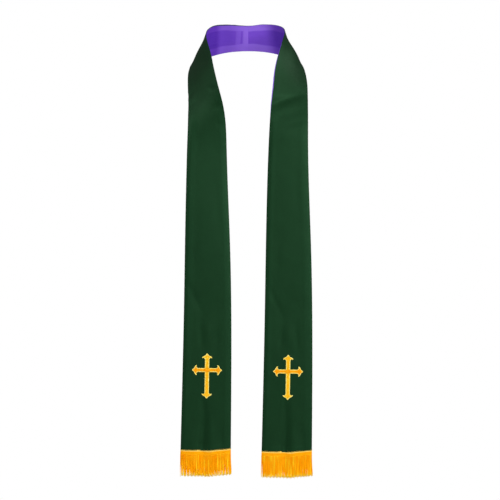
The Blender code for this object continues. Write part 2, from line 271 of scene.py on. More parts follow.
FILL_PITCH = 0.42 * MM
BORDER_PITCH = 0.40 * MM
BORDER_INSIDE = 2.1 * MM
BORDER_SLANT = 0.6
BORDER_FOOT = 0.18 * MM
BORDER_ARCH = 0.55 * MM
FILL_INSET = 1.3 * MM
FILL_SHORTEST = 0.8 * MM
FILL_ARCH = 0.12 * MM
FILL_ARCH_SHARE = 0.055
FILL_ARCH_LIMIT = 0.60 * MM
ARM_CLEAR = 0.4 * MM
UPRIGHT_CLEAR = 0.2 * MM
CORNER_CUT = 0.9 * MM
THREAD_WIDTH = 0.50 * MM
THREAD_HEIGHT = 0.34 * MM
THREAD_BOW = 2.6
PLATE_FOOT = -0.25 * MM
PLATE_TOP = 0.22 * MM

# Pull of the shell round its embroidery
PULL_PLACE = 3.5 * MM
PULL_REACH = 3.0 * MM
PULL_DEPTH = -0.10
PULL_RIPPLE = 0.05

# Fringe
HEADING_HEIGHT = 10.0 * MM
HEADING_TUCK = 3.0 * MM
HEADING_HALF_DEPTH = 0.80 * MM
STRAND_LENGTH = 53.4 * MM
STRAND_LEAN = 2.9 * MM
STRAND_RADIUS = 0.56 * MM
STRANDS_PER_ROW = 116
STRAND_ROWS = 3
STRAND_POINTS = 15
# Where the painted light on the strands' tips begins and ends, along each strand
TIP_START = 42.0 * MM
TIP_END = 57.0 * MM

# Braid of the heading
BRAID_COLUMNS = 300
BRAID_LEVELS = 22
CORD_PITCH = 3.35 * MM
CORD_ROOT = 0.40 * MM
CORD_HEIGHT = 0.42
WRAP_HEIGHT = 0.16
WRAP_PITCH = 1.28 * MM
WRAP_SLANT = 5.0 * MM

# How the strands depart from straight lines; the locks' waves run over shares of the width
LOCKS = [Wave(92, 0, 1, 1), Wave(211, 0, 2, 0.6)]
LOCK_SWAY = 0.40 * MM
LOCK_LENGTH = 1.1 * MM
STRAND_SWAY = 0.45 * MM
STRAND_SPREAD = 0.9 * MM
STRAND_DEPTH = 0.9 * MM
STRAND_RAGGED = 2.3 * MM
STRAND_ROOT = 1.2 * MM
ROW_DEPTH = 0.62 * MM
KINK = 0.28 * MM
STRAY_SHARE = 0.95
STRAY_REACH = 2.2 * MM
CORNER_PLACE = -0.493
CORNER_REACH = -3.0 * MM

# Camera: a level view, 4 m in front of the hanging fronts
CAMERA_PLACE = (0.00475, -4.165, -0.5586)
CAMERA_SENSOR = 36.0
CAMERA_FRAME = 1.27
CAMERA_DISTANCE = 4.0

# Lights in metres and watts, all aimed at the middle of the stole
Light = namedtuple("Light", "name place size power")

LIGHT_TARGET = (0.0, -0.12, -0.5)
LIGHTS = [
    Light("key", (2.3, -3.5, 0.1), 1.2, 34.0),
    Light("right", (3.4, -1.9, 1.6), 4.0, 114.0),
    Light("front", (0.4, -4.4, 0.45), 2.4, 41.0),
    Light("left", (-2.4, -2.6, 1.6), 2.4, 32.0),
    Light("far_left", (-3.4, -1.9, 1.6), 3.4, 18.0),
    Light("back", (0.4, 3.0, -0.7), 1.6, 60.0),
]

# Surroundings: their light fades between two values of the direction's backward part
WHITE = (1.0, 1.0, 1.0, 1.0)
SKY_FRONT = -0.1
SKY_BACK = 0.6
SKY_FRONT_LIGHT = 0.39
SKY_BACK_LIGHT = 0.12

# Floor
FLOOR_RADIUS = 1.3
FLOOR_MIDDLE = -0.06
FLOOR_HEIGHT = -1.7
FLOOR_STEPS = 96

# Painted shade on the lining: its tone deepens from a place along on, over a run, by a share,
# and lightens again by a negative one, darkening the band towards its ends by the neck corners.
Wear = namedtuple("Wear", "along run share")

LEFT_PAINTED_SHADE = [Wear(2, 56, 0.6), Wear(71, 20, 0.6), Wear(160, 240, -1.2)]
RIGHT_PAINTED_SHADE = [Wear(40, 42, 1.1), Wear(150, 220, -1.1)]

Half = namedtuple("Half", "name side sections folds rolls wear hem_tilt seed")

HALVES = [
    Half("left", -1, LEFT_SECTIONS, LEFT_FOLDS + LEFT_CREASES, LEFT_ROLLS, LEFT_PAINTED_SHADE, 5 * MM, 3.1),
    Half("right", 1, RIGHT_SECTIONS, RIGHT_FOLDS + RIGHT_CREASES, RIGHT_ROLLS, RIGHT_PAINTED_SHADE, -5 * MM, 8.7),
]


# Curve and surface of one half


def spline_slopes(knots, values):
    """Second derivatives of the natural cubic spline through the values."""
    count = len(knots)
    steps = np.diff(knots)
    matrix = np.eye(count)
    target = np.zeros(values.shape)
    for row in range(1, count - 1):
        before, after = steps[row - 1], steps[row]
        matrix[row, row - 1 : row + 2] = (before, 2.0 * (before + after), after)
        rise_after = (values[row + 1] - values[row]) / after
        rise_before = (values[row] - values[row - 1]) / before
        target[row] = 6.0 * (rise_after - rise_before)
    return np.linalg.solve(matrix, target)


def strip_curve(half):
    """Knots, values and spline of one half: middle line, width, bearing and fall."""
    rows = half.sections
    middle = np.array([[half.side * row.out, row.back, row.up] for row in rows]) * MM
    widths = np.array([WIDTHS[row.name] for row in rows]) * MM
    turns = np.radians([[row.bearing, row.fall] for row in rows])
    legs = np.linalg.norm(np.diff(middle, axis=0), axis=1)
    knots = np.concatenate([[0.0], np.cumsum(legs)])
    values = np.column_stack([middle, widths, turns])
    beyond = values[1:MIRRORED_SECTIONS][::-1].copy()
    beyond[:, 0] *= -1.0
    beyond[:, 4] = math.pi - beyond[:, 4]
    knots = np.concatenate([-knots[1:MIRRORED_SECTIONS][::-1], knots])
    values = np.vstack([beyond, values])
    return knots, values, spline_slopes(knots, values)


def spline_at(curve, along):
    """Values of the spline at each place in a flat array."""
    knots, values, slopes = curve
    cell = np.clip(np.searchsorted(knots, along, side="right") - 1, 0, len(knots) - 2)
    step = (knots[cell + 1] - knots[cell])[:, None]
    after = (along - knots[cell])[:, None]
    before = step - after
    bend = (slopes[cell] * before**3 + slopes[cell + 1] * after**3) / (6.0 * step)
    start = (values[cell] / step - slopes[cell] * step / 6.0) * before
    end = (values[cell + 1] / step - slopes[cell + 1] * step / 6.0) * after
    return bend + start + end


def unit(vectors):
    """Vectors scaled to length one."""
    return vectors / np.linalg.norm(vectors, axis=-1, keepdims=True)


def smooth_step(value):
    """Smooth rise from 0 to 1."""
    share = np.clip(value, 0.0, 1.0)
    return share * share * (3.0 - 2.0 * share)


def wave_sum(rows, along, aside, seed):
    """Sum of a table's waves at each place."""
    total = np.zeros(along.shape)
    for row in rows:
        phase = along * row.along + aside * row.aside + row.turn * seed
        total = total + row.height * np.sin(phase)
    return total


class Strip:
    """Ruled strip of one half; places are metres along from the nape and aside from its middle."""

    def __init__(self, half):
        self.half = half
        self.curve = strip_curve(half)
        self.length = self.curve[0][-1]

    def width(self, along):
        """Finished width at each place."""
        return spline_at(self.curve, np.minimum(along, self.length))[:, 3]

    def frame(self, along):
        """Middle point and direction across at each place."""
        probe = 0.5 * MM
        inside = np.minimum(along, self.length)
        here = spline_at(self.curve, inside)
        ahead = spline_at(self.curve, np.minimum(inside + probe, self.length))
        behind = spline_at(self.curve, inside - probe)
        forward = unit(ahead[:, :3] - behind[:, :3])
        bearing = here[:, 4]
        fall = here[:, 5]
        rightward = self.half.side * np.cos(fall) * np.cos(bearing)
        across = np.stack([rightward, np.cos(fall) * np.sin(bearing), -np.sin(fall)], axis=1)
        square = (across * forward).sum(axis=1, keepdims=True)
        across = unit(across - square * forward)
        past_end = (along - inside)[:, None]
        return here[:, :3] + forward * past_end, across

    def bare(self, along, aside):
        """Points of the strip before its folds."""
        middle, across = self.frame(along)
        return middle + across * aside[:, None]

    def ripple(self, along, aside):
        """Faint waviness of the cloth between its folds."""
        wave = wave_sum(RIPPLES, along, aside, self.half.seed)
        return RIPPLE_HEIGHT * wave * smooth_step(np.abs(along) / RIPPLE_START)

    def crown(self, along, aside):
        """Rise of the strip from its edges; left and right are as seen from the front."""
        half_width = 0.5 * self.width(along)
        rightward = aside * self.half.side
        left = np.clip((half_width + rightward) / LEFT_CROWN_REACH, 0.0, 1.0)
        right = np.clip((half_width - rightward) / RIGHT_CROWN_REACH, 0.0, 1.0)
        rise = (1.0 - (1.0 - left) ** 2) * (1.0 - (1.0 - right) ** 2)
        return CROWN_LIFT * rise * smooth_step((along - CROWN_START) / CROWN_RUN)

    def relief(self, along, aside):
        """Height of the folds and the crown at each place."""
        total = self.ripple(along, aside) + self.crown(along, aside)
        for fold in self.half.folds:
            turn = math.radians(fold.turn)
            ahead = along - fold.along * MM
            outward = aside - fold.aside * MM
            long_part = (ahead * math.cos(turn) + outward * math.sin(turn)) / (fold.half_long * MM)
            wide_part = (outward * math.cos(turn) - ahead * math.sin(turn)) / (fold.half_wide * MM)
            total = total + fold.height * MM * np.exp(-(long_part**2) - wide_part**2)
        return total

    def normal(self, along, aside, points):
        """Direction out of the shell side of a surface given by its points."""
        probe = 0.4 * MM
        down = points(along + probe, aside) - points(along - probe, aside)
        out = points(along, aside + probe) - points(along, aside - probe)
        return unit(np.cross(down, out)) * self.half.side

    def draped(self, along, aside):
        """Points of the strip with its folds."""
        lift = self.relief(along, aside)[:, None]
        return self.bare(along, aside) + self.normal(along, aside, self.bare) * lift

    def lifted(self, along, aside, height):
        """Points at a height off the folded strip, towards the shell side."""
        shape = along.shape
        along, aside, height = along.ravel(), aside.ravel(), height.ravel()
        direction = self.normal(along, aside, self.draped)
        points = self.draped(along, aside) + direction * height[:, None]
        return points.reshape(*shape, 3)

    def hem_shift(self, fraction):
        """How far the hem lies past the last section; the fraction runs -0.5 to 0.5."""
        sag = HEM_SAG * (1.0 - 4.0 * fraction**2)
        from_dip = (fraction - HEM_DIP_PLACE * self.half.side) / HEM_DIP_REACH
        return sag + HEM_DIP * np.exp(-(from_dip**2)) + self.half.hem_tilt * fraction

    def place(self, along, fraction):
        """Place along with the hem's own line worked in near the end."""
        weight = np.clip((along - self.length + HEM_BLEND) / HEM_BLEND, 0.0, 1.0)
        return along + self.hem_shift(fraction) * weight * weight

    def roll(self, edge, along):
        """How far the seam at an edge has rolled over to the lining's side."""
        total = np.zeros(along.shape)
        for row in self.half.rolls:
            if row.edge == edge:
                away = (along - row.along * MM) / (row.reach * MM)
                total += row.amount * MM * np.exp(-(away**2))
        return total


# Meshes


def mesh_object(name, points, faces, layers=None, materials=(), face_materials=None):
    """Smooth mesh object; layers are named per-vertex UV arrays."""
    mesh = bpy.data.meshes.new(name)
    mesh.from_pydata(points.reshape(-1, 3).tolist(), [], faces)
    corner_vertex = np.empty(len(mesh.loops), dtype=np.int32)
    mesh.loops.foreach_get("vertex_index", corner_vertex)
    for layer_name, values in (layers or {}).items():
        layer = mesh.uv_layers.new(name=layer_name)
        layer.uv.foreach_set("vector", values.reshape(-1, 2)[corner_vertex].ravel())
    for material in materials:
        mesh.materials.append(material)
    if face_materials is not None:
        mesh.polygons.foreach_set("material_index", face_materials)
    mesh.shade_smooth()
    mesh.validate()
    item = bpy.data.objects.new(name, mesh)
    bpy.context.scene.collection.objects.link(item)
    return item


def grid_faces(rows, columns, flipped, wrap=False):
    """Faces of a grid of points, with its last column joined to the first if it wraps."""
    spans = columns if wrap else columns - 1
    row, column = np.meshgrid(np.arange(rows - 1), np.arange(spans), indexing="ij")
    row, column = row.ravel(), column.ravel()
    beside = (column + 1) % columns
    corners = [
        row * columns + column,
        (row + 1) * columns + column,
        (row + 1) * columns + beside,
        row * columns + beside,
    ]
    if flipped:
        corners.reverse()
    return np.stack(corners, axis=1).tolist()


def joined(body, added):
    """Two sets of points, faces and UVs as one set."""
    points, faces, uv = body
    more, more_faces, more_uv = added
    faces = faces + [[corner + len(points) for corner in face] for face in more_faces]
    return np.vstack([points, more]), faces, np.vstack([uv, more_uv])


def tubes(paths, side_ways, up_ways, half_widths, half_heights, sides):
    """Closed tubes along many paths at once: points, faces and UV lengths."""
    count, stations, _ = paths.shape
    angles = np.arange(sides) * 2.0 * math.pi / sides
    ring_side = np.cos(angles)[None, None, :, None] * side_ways[:, :, None, :]
    ring_up = np.sin(angles)[None, None, :, None] * up_ways[:, :, None, :]
    points = paths[:, :, None, :] + ring_side * half_widths[:, :, None, None]
    points = points + ring_up * half_heights[:, :, None, None]
    legs = np.linalg.norm(np.diff(paths, axis=1), axis=2)
    run = np.concatenate([np.zeros((count, 1)), np.cumsum(legs, axis=1)], axis=1)
    around = np.broadcast_to(np.arange(sides) / sides, (count, stations, sides))
    uv = np.stack([around, np.broadcast_to(run[:, :, None], around.shape)], axis=-1)
    faces = []
    size = stations * sides
    one = np.array(grid_faces(stations, sides, False, wrap=True))
    for tube in range(count):
        first = tube * size
        faces += (one + first).tolist()
        faces.append(list(range(first, first + sides)))
        last = first + size - sides
        faces.append(list(range(last + sides - 1, last - 1, -1)))
    return points.reshape(-1, 3), faces, uv.reshape(-1, 2)


# Cloth layers


def allowance_share(from_inner, from_outer, from_nape, from_hem, nape_steps):
    """How fully the seam allowances lie under each place, from 0 to 1."""
    wander = wave_sum(ALLOWANCE_WANDER, from_nape, 0.0, 1.0)
    layers = [
        1.0 - smooth_step((from_inner + wander - INNER_ALLOWANCE) / ALLOWANCE_FADE),
        1.0 - smooth_step((from_outer - wander - OUTER_ALLOWANCE) / ALLOWANCE_FADE),
        1.0 - smooth_step((from_hem - HEM_ALLOWANCE) / ALLOWANCE_FADE),
    ]
    for step in nape_steps:
        begun = smooth_step((from_nape - step.start * MM) / ALLOWANCE_FADE)
        ended = smooth_step((from_nape - step.end * MM) / ALLOWANCE_FADE)
        layers.append(step.share * (begun - ended))
    return np.maximum.reduce(layers)


def rounding(distance):
    """Quarter round from 0 at a rim to 1 at its radius."""
    return np.sqrt(1.0 - (1.0 - np.clip(distance / RIM_RADIUS, 0.0, 1.0)) ** 2)


def layer_height(inward, from_nape, from_hem, plateau):
    """Height of a layer off the middle surface, from the distances to its edges and ends."""
    nape = NAPE_GROOVE + (1.0 - NAPE_GROOVE) * rounding(from_nape)
    hem = HEM_PINCH + (1.0 - HEM_PINCH) * rounding(from_hem)
    return plateau * rounding(inward) * nape * hem


def layer_rows(length):
    """Places along a layer, close together at both ends."""
    ends = np.array(END_ROWS) * MM
    middle = np.arange(ends[-1] + ROW_STEP, length - ends[-1] - 0.5 * ROW_STEP, ROW_STEP)
    return np.concatenate([ends, middle, length - ends[::-1]])


def layer_columns(strip, layer_side, rows, width):
    """Distances from the inner edge, and the side that each place of a layer lies on."""
    offsets = np.array(EDGE_COLUMNS)[None, :] * MM

    def from_edge(edge):
        """Signed distance round the edge: positive over the shell's face."""
        shift = strip.roll(edge, rows)[:, None] * np.exp(-offsets / ROLL_FADE)
        return layer_side * offsets - shift

    inner = from_edge("inner")
    outer = from_edge("outer")
    tuck = EDGE_TUCK * np.exp(-((offsets / EDGE_TUCK_REACH) ** 2))
    inner_in = np.abs(inner) + tuck
    outer_in = np.abs(outer) + tuck
    share = np.linspace(0.0, 1.0, MIDDLE_COLUMNS + 1)[None, 1:-1]
    start, end = inner_in[:, -1:], width - outer_in[:, -1:]
    middle = start + (end - start) * share
    from_inner = np.concatenate([inner_in, middle, width - outer_in[:, ::-1]], axis=1)
    inner_sign = np.where(inner * layer_side >= 0.0, layer_side, -layer_side)
    outer_sign = np.where(outer * layer_side >= 0.0, layer_side, -layer_side)[:, ::-1]
    middle_sign = np.full(middle.shape, layer_side)
    return from_inner, np.concatenate([inner_sign, middle_sign, outer_sign], axis=1)


def painted_shade_share(half, along):
    """How deep the painted shade of the lining is at each place."""
    wear = np.zeros(along.shape)
    for row in half.wear:
        wear = wear + row.share * smooth_step((along - row.along * MM) / (row.run * MM))
    return wear


def cloth_layer(layer, strip, material):
    """Thin shell of one cloth layer, rolled round its edges to the seams."""
    half = strip.half
    layer_side = LAYER_SIDES[layer]
    rows = layer_rows(strip.length)
    width = strip.width(rows)[:, None]
    from_inner, sign = layer_columns(strip, layer_side, rows, width)
    inward = np.minimum(from_inner, width - from_inner)
    along = np.broadcast_to(rows[:, None], from_inner.shape)
    from_hem = strip.length - along
    nape_steps = NAPE_STEPS[f"{layer} {half.name}"]
    allowance = allowance_share(from_inner, width - from_inner, along, from_hem, nape_steps)
    plateau = PLAIN_LIFT + ALLOWANCE_LIFT * allowance
    height = layer_height(inward, along, from_hem, plateau)
    near_edge = np.exp(-inward / PUCKER_REACH)
    wave_inner = wave_sum(PUCKERS, rows, 0.0, half.seed)[:, None]
    wave_outer = wave_sum(PUCKERS, rows + OUTER_PUCKER_SHIFT, 0.0, half.seed)[:, None]
    wave = np.where(from_inner < 0.5 * width, wave_inner, wave_outer)
    height = height * (1.0 + PUCKER_SHARE * wave * near_edge) * sign
    aside = from_inner - 0.5 * width
    aside = aside + PUCKER_SWAY * wave * near_edge
    fraction = aside / width
    placed = strip.place(along, fraction)
    if layer == "shell":
        height = height + cross_pucker(strip, placed, aside)
    points = strip.lifted(placed, aside, height)
    layers = {
        "weave": np.stack([aside, along], axis=-1),
        "seams": np.stack([inward, allowance], axis=-1),
    }
    # Painted shade of the lining towards the band's ends, carried in a UV layer
    if layer == "lining":
        layers["wear"] = np.stack([painted_shade_share(half, along), np.zeros(along.shape)], axis=-1)
    flipped = (half.side * layer_side) < 0.0
    faces = grid_faces(points.shape[0], points.shape[1], flipped)
    return mesh_object(f"{layer}_{half.name}_cloth", points, faces, layers, [material])


def cross_pucker(strip, along, aside):
    """Shallow pull of the shell round its embroidery."""
    up = strip.length - CROSS_ABOVE_HEM - along
    right = aside * strip.half.side
    from_middle = np.abs(up - 0.5 * (CROSS_UP - CROSS_DOWN))
    upright = np.maximum(np.abs(right) - UPRIGHT_HALF, from_middle - 0.5 * (CROSS_UP + CROSS_DOWN))
    bar = np.maximum(np.abs(right) - CROSS_SIDE, np.abs(up) - CROSSBAR_HALF)
    away = np.minimum(upright, bar)
    ring = np.exp(-(((away - PULL_PLACE) / PULL_REACH) ** 2))
    ripple = np.sin(900.0 * right + 5.0 * strip.half.seed) + np.sin(760.0 * up)
    return ring * MM * (PULL_DEPTH + PULL_RIPPLE * ripple)


# Embroidered crosses


def cross_outline():
    """Outline of the cross as (right, up) pairs, from the top arm round by the left."""
    arms = [
        ((0.0, 1.0), CROSS_UP, UPRIGHT_HALF),
        ((-1.0, 0.0), CROSS_SIDE, CROSSBAR_HALF),
        ((0.0, -1.0), CROSS_DOWN, UPRIGHT_HALF),
        ((1.0, 0.0), CROSS_SIDE, CROSSBAR_HALF),
    ]
    outline = []
    for (way_x, way_y), reach, bar_half in arms:
        half = [(row.inward * MM, row.aside * MM) for row in FINIAL]
        half.append((FINIAL_ROOT, bar_half))
        mirrored = [(inward, -aside) for inward, aside in half]
        for inward, aside in [*reversed(half), (0.0, 0.0), *mirrored]:
            out = reach - inward
            outline.append((way_x * out + way_y * aside, way_y * out - way_x * aside))
        corner_x = (way_x - way_y) * UPRIGHT_HALF
        corner_y = (way_y + way_x) * CROSSBAR_HALF
        outline.append((corner_x, corner_y))
    return np.array(outline)


def rounded(outline, cuts):
    """Closed outline with its corners cut back, so that it turns softly."""
    reach = CORNER_CUT
    for _ in range(cuts):
        legs = np.roll(outline, -1, axis=0) - outline
        share = np.minimum(0.25, reach / np.linalg.norm(legs, axis=1))[:, None]
        near = outline + share * legs
        far = outline + (1.0 - share) * legs
        outline = np.stack([near, far], axis=1).reshape(-1, 2)
        reach *= 0.5
    return outline


def even_steps(outline, pitch):
    """Points at an even pitch round a closed outline, and the directions into it."""
    closed = np.vstack([outline, outline[:1]])
    legs = np.linalg.norm(np.diff(closed, axis=0), axis=1)
    run = np.concatenate([[0.0], np.cumsum(legs)])
    count = int(run[-1] / pitch)
    stops = np.arange(count) * run[-1] / count
    points = np.column_stack([np.interp(stops, run, closed[:, axis]) for axis in range(2)])
    reach = 3
    ahead = unit(np.roll(points, -reach, axis=0) - np.roll(points, reach, axis=0))
    return points, np.column_stack([-ahead[:, 1], ahead[:, 0]])


def crossings(outline, axis, value):
    """Sorted places where the outline crosses a line, on the other axis."""
    following = np.roll(outline, -1, axis=0)
    below = outline[:, axis] < value
    crossed = below != (following[:, axis] < value)
    start, end = outline[crossed], following[crossed]
    share = (value - start[:, axis]) / (end[:, axis] - start[:, axis])
    other = 1 - axis
    return np.sort(start[:, other] + share * (end[:, other] - start[:, other]))


def fill_threads(outline):
    """Ends of the satin stitches that fill the cross: across the upright, and up the arms."""
    threads, ways = [], []
    for axis, low, high in ((1, -CROSS_DOWN, CROSS_UP), (0, -CROSS_SIDE, CROSS_SIDE)):
        for value in np.arange(low + 0.5 * FILL_PITCH, high, FILL_PITCH):
            if axis == 1 and abs(value) < CROSSBAR_HALF - ARM_CLEAR:
                continue
            limit = FINIAL_HALF
            if axis == 0 and abs(value) < UPRIGHT_HALF + UPRIGHT_CLEAR:
                limit = CROSSBAR_HALF
            cuts = crossings(outline, axis, value)
            for start, end in zip(cuts[0::2], cuts[1::2]):
                start = max(start + FILL_INSET, -limit)
                end = min(end - FILL_INSET, limit)
                if end - start < FILL_SHORTEST:
                    continue
                if axis == 1:
                    threads.append(((start, value), (end, value + 0.5 * FILL_PITCH)))
                else:
                    threads.append(((value, start), (value + 0.5 * FILL_PITCH, end)))
                ways.append(axis)
    return np.array(threads), np.array(ways)


def stitch_tubes(starts, ends, low, arch, stations):
    """Flat stitches as arched threads, in (right, up, height)."""
    share = np.linspace(0.0, 1.0, stations)
    plan = starts[:, None, :] + (ends - starts)[:, None, :] * share[None, :, None]
    bow = 1.0 - np.abs(2.0 * share - 1.0) ** THREAD_BOW
    height = low + arch[:, None] * bow[None, :]
    paths = np.concatenate([plan, height[:, :, None]], axis=2)
    along = unit(ends - starts)
    side = np.column_stack([-along[:, 1], along[:, 0], np.zeros(len(along))])
    side = np.broadcast_to(side[:, None, :], paths.shape)
    up = np.broadcast_to(np.array([0.0, 0.0, 1.0]), paths.shape)
    wide = np.full(height.shape, 0.5 * THREAD_WIDTH)
    tall = np.full(height.shape, 0.5 * THREAD_HEIGHT)
    return tubes(paths, side, up, wide, tall, 4)


def on_shell(strip, flat):
    """Points of the embroidery laid on the shell's face."""
    along = strip.length - CROSS_ABOVE_HEM - flat[..., 1]
    aside = flat[..., 0] * strip.half.side
    return strip.lifted(along, aside, PLAIN_LIFT + flat[..., 2])


def backing_plate(outline):
    """Low closed plate under the stitches: points, faces and UVs."""
    count = len(outline)
    levels = np.repeat([PLATE_FOOT, PLATE_TOP], count)
    faces = []
    for corner in range(count):
        beside = (corner + 1) % count
        faces.append([corner, beside, count + beside, count + corner])
    faces += [list(range(count - 1, -1, -1)), list(range(count, 2 * count))]
    uv = np.vstack([outline, outline])
    return np.column_stack([uv, levels]), faces, uv


def embroidered_cross(strip, fills, border):
    """Cross of satin-stitch threads with a raised border of its own."""
    name = f"cross_{strip.half.name}"
    outline = rounded(cross_outline(), 2)
    threads, ways = fill_threads(outline)
    spans = np.linalg.norm(threads[:, 1] - threads[:, 0], axis=1)
    arch = np.minimum(FILL_ARCH_LIMIT, FILL_ARCH + FILL_ARCH_SHARE * spans)
    stitches = stitch_tubes(threads[:, 0], threads[:, 1], PLATE_TOP, arch, 7)
    plate = backing_plate(outline)
    kinds = np.repeat(ways, len(stitches[1]) // len(threads))
    kinds = np.concatenate([kinds, np.zeros(len(plate[1]), dtype=int)]).astype(np.int32)
    points, faces, uv = joined(stitches, plate)
    points = on_shell(strip, points)
    body = mesh_object(name + "_stitches", points, faces, {"weave": uv}, fills, kinds)

    stops, inward = even_steps(outline, BORDER_PITCH)
    slant = np.roll(stops, -1, axis=0) - stops
    ends = stops + inward * BORDER_INSIDE + BORDER_SLANT * slant
    arch = np.full(len(stops), BORDER_ARCH)
    points, faces, uv = stitch_tubes(stops, ends, BORDER_FOOT, arch, 5)
    rim = mesh_object(name + "_border", on_shell(strip, points), faces, {"weave": uv}, [border])
    return body, rim


# Fringe


def under_hem(strip, flat):
    """Points of the fringe: x to the right, y back and z up from the heading's foot."""
    side = strip.half.side
    fraction = np.clip(flat[..., 0] / HEM_WIDTH * side, -0.5, 0.5)
    along = strip.length + HEM_GAP + HEADING_HEIGHT - flat[..., 2] + strip.hem_shift(fraction)
    return strip.lifted(along, flat[..., 0] * side, -flat[..., 1])


def wave_values(count, seed):
    """Steady pseudo-random values from -1 to 1."""
    number = np.arange(count)
    return np.sin(12.9898 * number + 78.233 * seed) * np.cos(4.1414 * number + seed)


def heading(strip):
    """Braided heading: three cords side by side, wrapped by upright threads."""
    right = np.linspace(-0.5, 0.5, BRAID_COLUMNS) * HEM_WIDTH
    up = np.linspace(0.0, HEADING_HEIGHT + HEADING_TUCK, BRAID_LEVELS)
    grid_right, grid_up = np.meshgrid(right, up, indexing="ij")
    cords = np.abs(np.sin(math.pi * grid_up / CORD_PITCH))
    lean = np.where((grid_up / CORD_PITCH).astype(int) % 2 == 0, 1.0, -1.0)
    wraps = np.sin(2.0 * math.pi * (grid_right / WRAP_PITCH + lean * grid_up / WRAP_SLANT))
    ridge = CORD_HEIGHT * cords**0.6 + WRAP_HEIGHT * wraps * cords
    front = -(HEADING_HALF_DEPTH - CORD_ROOT) - ridge * MM
    ring_right = np.concatenate([grid_right, grid_right[:, ::-1]], axis=1)
    ring_up = np.concatenate([grid_up, grid_up[:, ::-1]], axis=1)
    ring_back = np.concatenate([front, -front[:, ::-1]], axis=1)
    flat = np.stack([ring_right, ring_back, ring_up], axis=-1)
    count = flat.shape[1]
    points = under_hem(strip, flat)
    faces = grid_faces(BRAID_COLUMNS, count, strip.half.side > 0.0, wrap=True)
    first = list(range(count))
    last = list(range((BRAID_COLUMNS - 1) * count, BRAID_COLUMNS * count))
    if strip.half.side > 0.0:
        first.reverse()
    else:
        last.reverse()
    faces += [first, last]
    uv = np.stack([ring_right, ring_up], axis=-1)
    return points.reshape(-1, 3), faces, uv.reshape(-1, 2)


def strands(strip):
    """Three staggered rows of hanging strands, gathered a little into locks."""
    count = STRANDS_PER_ROW * STRAND_ROWS
    number = np.arange(count)
    row = number % STRAND_ROWS
    place = (number + 0.5) / count - 0.5
    seed = strip.half.seed
    wave_a = wave_values(count, seed)
    wave_b = wave_values(count, seed + 1.7)
    wave_c = wave_values(count, seed + 4.9)
    share = np.linspace(0.0, 1.0, STRAND_POINTS)[None, :]
    lock = wave_sum(LOCKS, place, 0.0, seed)
    splay = STRAND_LEAN + STRAND_SPREAD * place + LOCK_SWAY * lock + STRAND_SWAY * wave_a
    stray = np.where(np.abs(wave_c) > STRAY_SHARE, STRAY_REACH * np.sign(wave_c), 0.0)
    corner = np.where(place < CORNER_PLACE, CORNER_REACH, 0.0)
    right = place[:, None] * HEM_WIDTH + (splay + stray + corner)[:, None] * share**1.6
    right = right + KINK * np.sin(share * 9.0 + 6.0 * wave_b[:, None]) * share
    depth = (row[:, None] - 1.0) * ROW_DEPTH * (1.0 - 0.2 * share)
    depth = depth + STRAND_DEPTH * wave_b[:, None] * share**1.5
    length = STRAND_LENGTH + STRAND_RAGGED * wave_b + LOCK_LENGTH * lock
    drop = STRAND_ROOT - (length[:, None] + STRAND_ROOT) * share
    paths = under_hem(strip, np.stack([right, depth, drop], axis=-1))
    ahead = unit(np.gradient(paths, axis=1))
    back = np.broadcast_to(np.array([0.0, 1.0, 0.0]), paths.shape)
    side = unit(np.cross(ahead, back))
    up = np.cross(side, ahead)
    radius = STRAND_RADIUS * (1.0 + 0.10 * wave_c[:, None]) * (1.0 - 0.25 * share**6)
    radius = radius * (1.0 + 0.05 * np.sin(share * 70.0 + 5.0 * wave_a[:, None]))
    return tubes(paths, side, up, radius, radius, 5)


def fringe(strip, braid, thread):
    """Heading and strands as one piece, with a material each."""
    braided = heading(strip)
    hanging = strands(strip)
    kinds = np.repeat([0, 1], [len(braided[1]), len(hanging[1])]).astype(np.int32)
    points, faces, uv = joined(braided, hanging)
    name = f"fringe_{strip.half.name}_threads"
    return mesh_object(name, points, faces, {"weave": uv}, [braid, thread], kinds)


# Materials


def linear(red, green, blue):
    """Linear colour of a display colour given from 0 to 255."""
    channels = []
    for value in (red, green, blue):
        share = value / 255.0
        channels.append(share / 12.92 if share <= 0.04045 else ((share + 0.055) / 1.055) ** 2.4)
    return (*channels, 1.0)


GOLD_TINT = linear(255, 205, 90)


class Tree:
    """Node tree under construction."""

    def __init__(self, owner):
        owner.use_nodes = True
        self.nodes = owner.node_tree.nodes
        self.links = owner.node_tree.links

    def feed(self, socket, value):
        """Link a socket to another, or set it to a value."""
        if isinstance(value, bpy.types.NodeSocket):
            self.links.new(value, socket)
        else:
            socket.default_value = value

    def make(self, kind, inputs=None, **settings):
        """New node, with its settings and its inputs set or linked."""
        node = self.nodes.new(kind)
        for key, value in settings.items():
            setattr(node, key, value)
        for key, value in (inputs or {}).items():
            self.feed(node.inputs[key], value)
        return node


